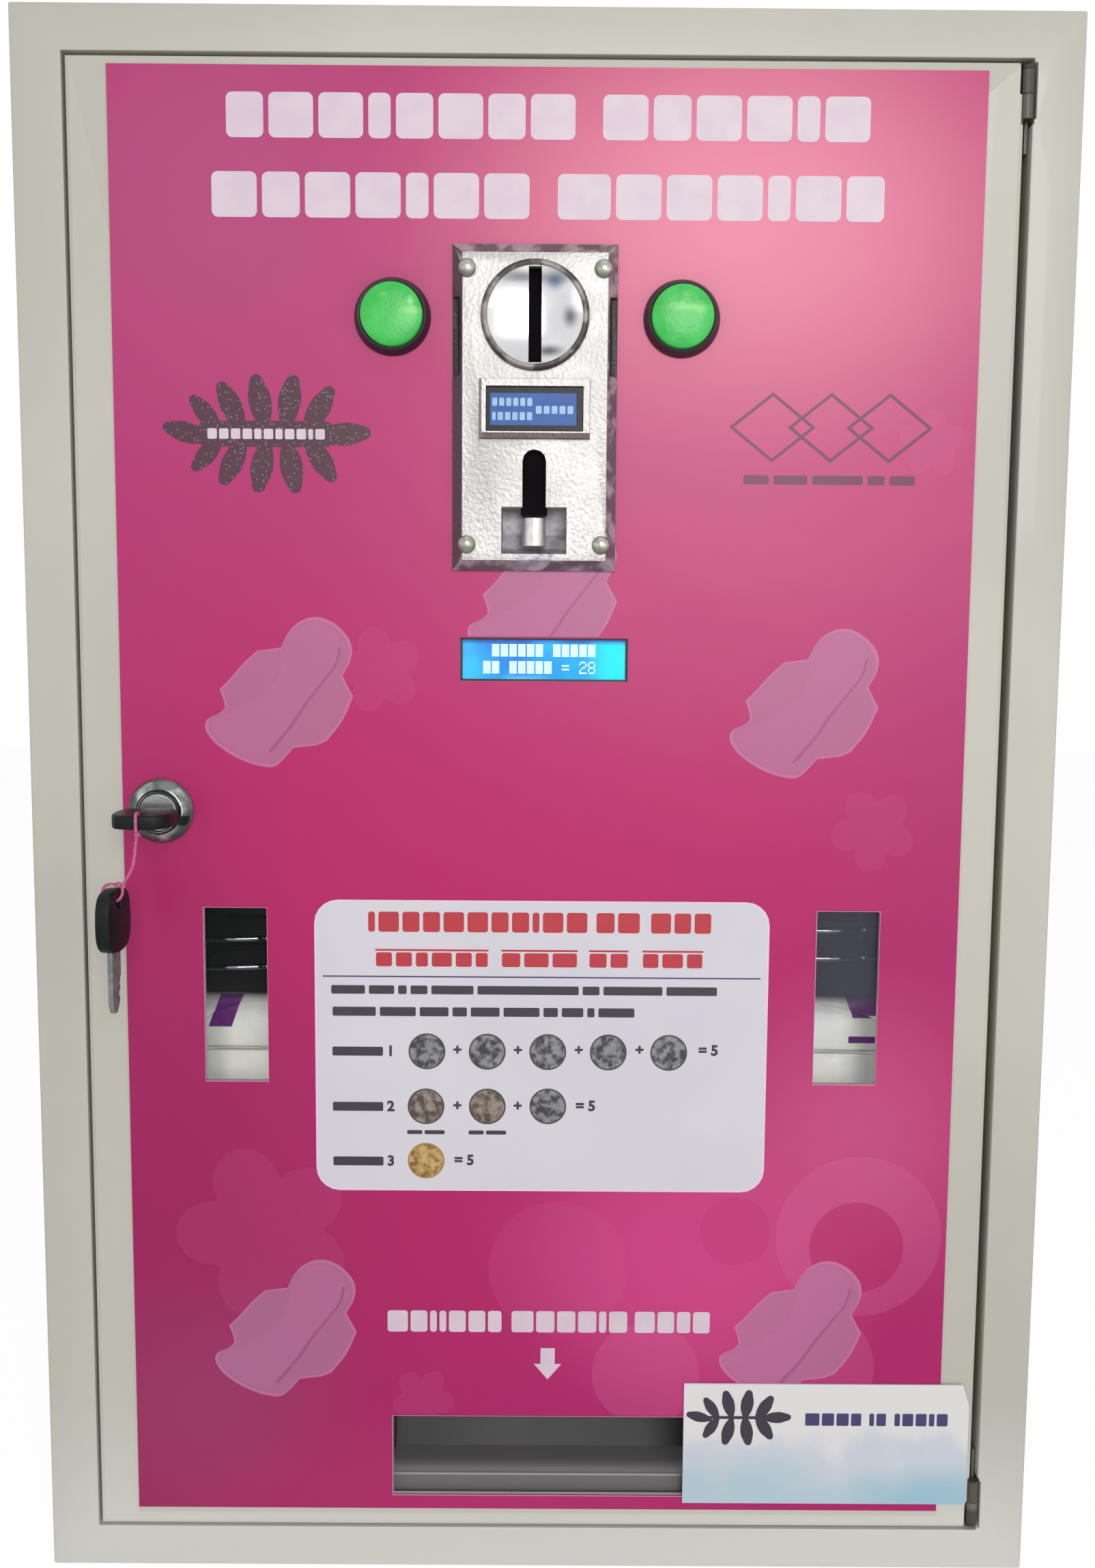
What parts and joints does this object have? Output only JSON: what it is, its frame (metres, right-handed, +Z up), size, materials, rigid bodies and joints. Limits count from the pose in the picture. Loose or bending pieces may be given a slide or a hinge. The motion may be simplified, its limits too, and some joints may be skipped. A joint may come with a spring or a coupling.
{
  "type": "combo vending machine",
  "caption": "Wall-hung coin vending cabinet with a hinged door, coin acceptor, push buttons, display, pad magazines and delivery chute.",
  "frame": {"origin": "centre of the cabinet's bottom face", "axes": "+Z up, the door faces -Y, +X to the viewer's right"},
  "size_m": [0.4159, 0.2485, 0.635],
  "materials": {
    "cabinet_paint": "semi-gloss warm grey-white powder coat with fine specks",
    "door_print": "printed magenta vinyl film, satin gloss",
    "die_cast": "satin zinc die casting",
    "bright_metal": "bright nickel plating",
    "zinc_sheet": "zinc-plated sheet",
    "dark_sheet": "plain dark steel sheet",
    "black_plastic": "satin black plastic",
    "green_lens": "translucent green cap",
    "clear_sheet": "clear acrylic",
    "lcd_glass": "backlit character display",
    "circuit_board": "green laminate",
    "sign_film": "blue printed film on plastic",
    "card_film": "laminated plain card",
    "motor_case": "plain metal case",
    "supply_case": "vented sheet case",
    "brass_gear": "machined brass",
    "pad_wrapper": "soft printed wrapper",
    "cotton_thread": "twisted pink thread"
  },
  "bodies": {
    "cabinet": {"cabinet_shell": "cabinet_paint", "back_panel": "cabinet_paint", "hinge_upper": "zinc_sheet", "hinge_lower": "zinc_sheet", "hinge_pin_upper": "zinc_sheet", "hinge_pin_lower": "zinc_sheet", "magazine_left": "dark_sheet", "magazine_right": "dark_sheet", "ejector_deck_left": "zinc_sheet", "ejector_deck_right": "zinc_sheet", "gearmotor_left": "motor_case", "gearmotor_right": "motor_case", "pack_left_2": "pad_wrapper", "pack_left_3": "pad_wrapper", "pack_right_2": "pad_wrapper", "pack_right_3": "pad_wrapper", "delivery_chute": "dark_sheet", "coin_shelf": "zinc_sheet", "power_supply": "supply_case", "control_board": "circuit_board", "mains_inlet": "black_plastic"},
    "door": {"door_panel": "cabinet_paint", "door_vinyl": "door_print", "window_left": "clear_sheet", "window_right": "clear_sheet", "lcd_bezel": "black_plastic", "lcd_glass": "lcd_glass", "lcd_board": "circuit_board", "button_housing_left": "black_plastic", "button_housing_right": "black_plastic", "button_nut_left": "black_plastic", "button_nut_right": "black_plastic", "acceptor_plate": "die_cast", "coin_entry": "bright_metal", "acceptor_sign": "sign_film", "acceptor_body_left": "black_plastic", "acceptor_body_right": "black_plastic", "coin_tube": "black_plastic", "acceptor_bolt_1": "bright_metal", "acceptor_bolt_2": "bright_metal", "acceptor_bolt_3": "bright_metal", "acceptor_bolt_4": "bright_metal", "lock_barrel": "bright_metal", "lock_nut": "zinc_sheet", "notice_card": "card_film"},
    "button_left": {"button_cap_left": "green_lens"},
    "button_right": {"button_cap_right": "green_lens"},
    "coin_return": {"coin_return_lever": "bright_metal"},
    "lock": {"lock_plug": "bright_metal", "lock_cam": "zinc_sheet"},
    "key": {"key": "black_plastic"},
    "thread": {"key_thread": "cotton_thread"},
    "spare": {"spare_key": "black_plastic"},
    "pusher_left": {"pusher_left": "zinc_sheet"},
    "pusher_right": {"pusher_right": "zinc_sheet"},
    "pinion_left": {"pinion_left": "brass_gear"},
    "pinion_right": {"pinion_right": "brass_gear"},
    "pack_left": {"pack_left_1": "pad_wrapper"},
    "pack_right": {"pack_right_1": "pad_wrapper"},
    "coin_box": {"coin_box": "zinc_sheet"}
  },
  "joints": [
    {"name": "door_swing", "type": "hinge", "parent": "cabinet", "child": "door", "pos_m": [0.1845, -0.0985, 0.3175], "axis": [0, 0, 1], "range_deg": [0, 110]},
    {"name": "button_left_press", "type": "slide", "parent": "door", "child": "button_left", "axis": [0, 1, 0], "range_m": [0, 0.0025], "stiffness_N_per_m": 200},
    {"name": "button_right_press", "type": "slide", "parent": "door", "child": "button_right", "axis": [0, 1, 0], "range_m": [0, 0.0025], "stiffness_N_per_m": 200},
    {"name": "coin_return_push", "type": "slide", "parent": "door", "child": "coin_return", "axis": [0, 1, 0], "range_m": [0, 0.004], "stiffness_N_per_m": 150},
    {"name": "lock_turn", "type": "hinge", "parent": "door", "child": "lock", "pos_m": [-0.1535, -0.1, 0.3245], "axis": [0, 1, 0], "range_deg": [0, 90]},
    {"name": "key_slide", "type": "slide", "parent": "lock", "child": "key", "axis": [0, -1, 0], "range_m": [0, 0.026]},
    {"name": "thread_swing", "type": "hinge", "parent": "key", "child": "thread", "pos_m": [-0.1535, -0.1378, 0.3205], "axis": [0, 1, 0], "range_deg": [-90, 0]},
    {"name": "spare_key_swing", "type": "hinge", "parent": "thread", "child": "spare", "pos_m": [-0.1637, -0.1368, 0.2992], "axis": [0, 1, 0], "range_deg": [-25, 25]},
    {"name": "pusher_left_slide", "type": "slide", "parent": "cabinet", "child": "pusher_left", "axis": [1, 0, 0], "range_m": [0, 0.042]},
    {"name": "pinion_left_spin", "type": "hinge", "parent": "cabinet", "child": "pinion_left", "pos_m": [-0.15232, 0.0308, 0.2116], "axis": [0, 1, 0], "range_deg": [-230, 0]},
    {"name": "pack_left_slide", "type": "slide", "parent": "cabinet", "child": "pack_left", "axis": [1, 0, 0], "range_m": [0, 0.042]},
    {"name": "pusher_right_slide", "type": "slide", "parent": "cabinet", "child": "pusher_right", "axis": [-1, 0, 0], "range_m": [0, 0.042]},
    {"name": "pinion_right_spin", "type": "hinge", "parent": "cabinet", "child": "pinion_right", "pos_m": [0.15232, 0.0308, 0.2116], "axis": [0, 1, 0], "range_deg": [0, 230]},
    {"name": "pack_right_slide", "type": "slide", "parent": "cabinet", "child": "pack_right", "axis": [-1, 0, 0], "range_m": [0, 0.042]},
    {"name": "coin_box_lift", "type": "slide", "parent": "cabinet", "child": "coin_box", "axis": [0, 0, 1], "range_m": [0, 0.06]}
  ],
  "couplings": [
    {"joint": "thread_swing", "follows": "lock_turn", "ratio": -1},
    {"joint": "pinion_left_spin", "follows": "pusher_left_slide", "rad_per_m": -95.238},
    {"joint": "pack_left_slide", "follows": "pusher_left_slide", "ratio": 1},
    {"joint": "pinion_right_spin", "follows": "pusher_right_slide", "rad_per_m": 95.238},
    {"joint": "pack_right_slide", "follows": "pusher_right_slide", "ratio": 1}
  ]
}
